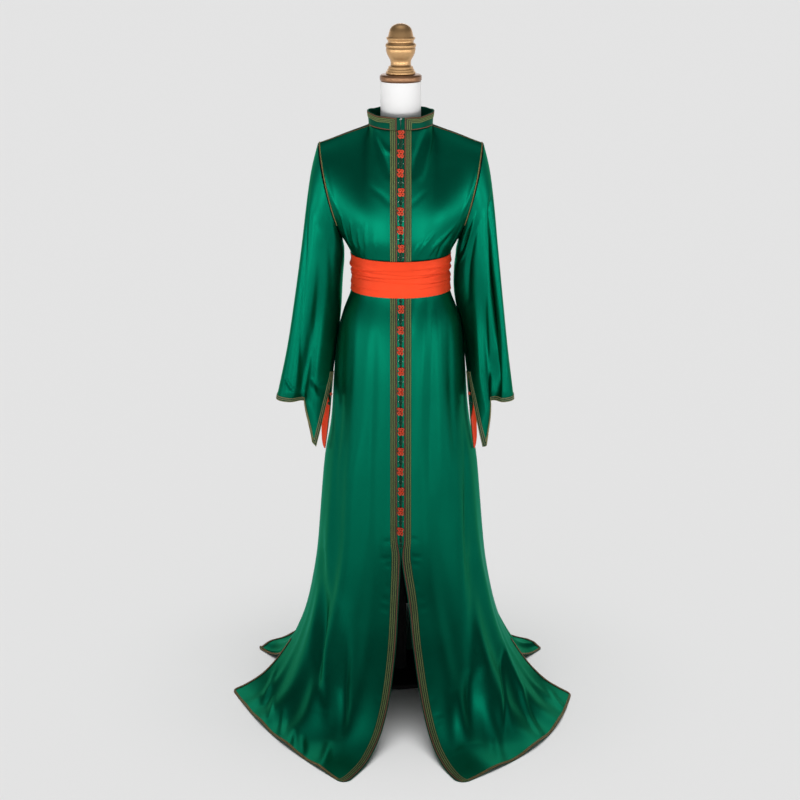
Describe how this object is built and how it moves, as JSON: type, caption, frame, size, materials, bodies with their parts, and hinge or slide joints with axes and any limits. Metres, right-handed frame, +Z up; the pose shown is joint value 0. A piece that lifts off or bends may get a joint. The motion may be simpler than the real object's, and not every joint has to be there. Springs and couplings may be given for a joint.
{
  "type": "moroccan kaftan on a limbless dress form",
  "caption": "Long belted satin kaftan with braided edges and knotted front closing, worn by a dress form on a disc-footed stand; neck, cuffs and hem open.",
  "frame": {"origin": "on the floor, under the axis of the dress form, at the centre of its base", "axes": "+Z up; -Y towards the viewer of the kaftan's front; +X towards the wearer's left"},
  "size_m": [0.8502, 1.056, 1.6341],
  "materials": {
    "green_satin": "glossy woven satin",
    "orange_satin": "soft satin",
    "gold_braid": "corded braid",
    "orange_passementerie": "knotted cord",
    "green_passementerie": "knotted cord",
    "silver_hook": "plated",
    "white_form_cloth": "plain matt cloth over the form",
    "bronze_disc": "dark bronze, satin",
    "gilt_finial": "turned, gilt, satin",
    "black_stand": "matt black"
  },
  "bodies": {
    "root": {"aakad_01": "orange_passementerie", "aakad_02": "orange_passementerie", "aakad_03": "orange_passementerie", "aakad_04": "orange_passementerie", "aakad_05": "orange_passementerie", "aakad_06": "orange_passementerie", "aakad_07": "orange_passementerie", "aakad_08": "orange_passementerie", "aakad_09": "orange_passementerie", "aakad_10": "orange_passementerie", "aakad_11": "orange_passementerie", "aakad_12": "orange_passementerie", "aakad_13": "orange_passementerie", "aakad_14": "orange_passementerie", "aakad_15": "orange_passementerie", "aakad_16": "orange_passementerie", "aakad_17": "orange_passementerie", "aakad_18": "orange_passementerie", "aakad_19": "orange_passementerie", "armhole_braid_back_left": "gold_braid", "armhole_braid_back_right": "gold_braid", "armhole_braid_left": "gold_braid", "armhole_braid_right": "gold_braid", "back": "green_satin", "belt": "orange_satin", "collar": "green_satin", "collar_braid": "gold_braid", "collar_hook": "silver_hook", "cuff_braid_left": "gold_braid", "cuff_braid_right": "gold_braid", "cuff_knot_left": "green_passementerie", "cuff_knot_right": "green_passementerie", "cuff_lining_left": "orange_satin", "cuff_lining_right": "orange_satin", "form_base": "black_stand", "form_finial": "gilt_finial", "form_neck_disc": "bronze_disc", "form_pole": "black_stand", "form_torso": "white_form_cloth", "front_braid_left": "gold_braid", "front_braid_right": "gold_braid", "front_left": "green_satin", "front_right": "green_satin", "hem_braid_back": "gold_braid", "hem_braid_left": "gold_braid", "hem_braid_right": "gold_braid", "knot_chain_lower": "green_passementerie", "knot_chain_upper": "green_passementerie", "sleeve_left": "green_satin", "sleeve_right": "green_satin"}
  },
  "joints": []
}
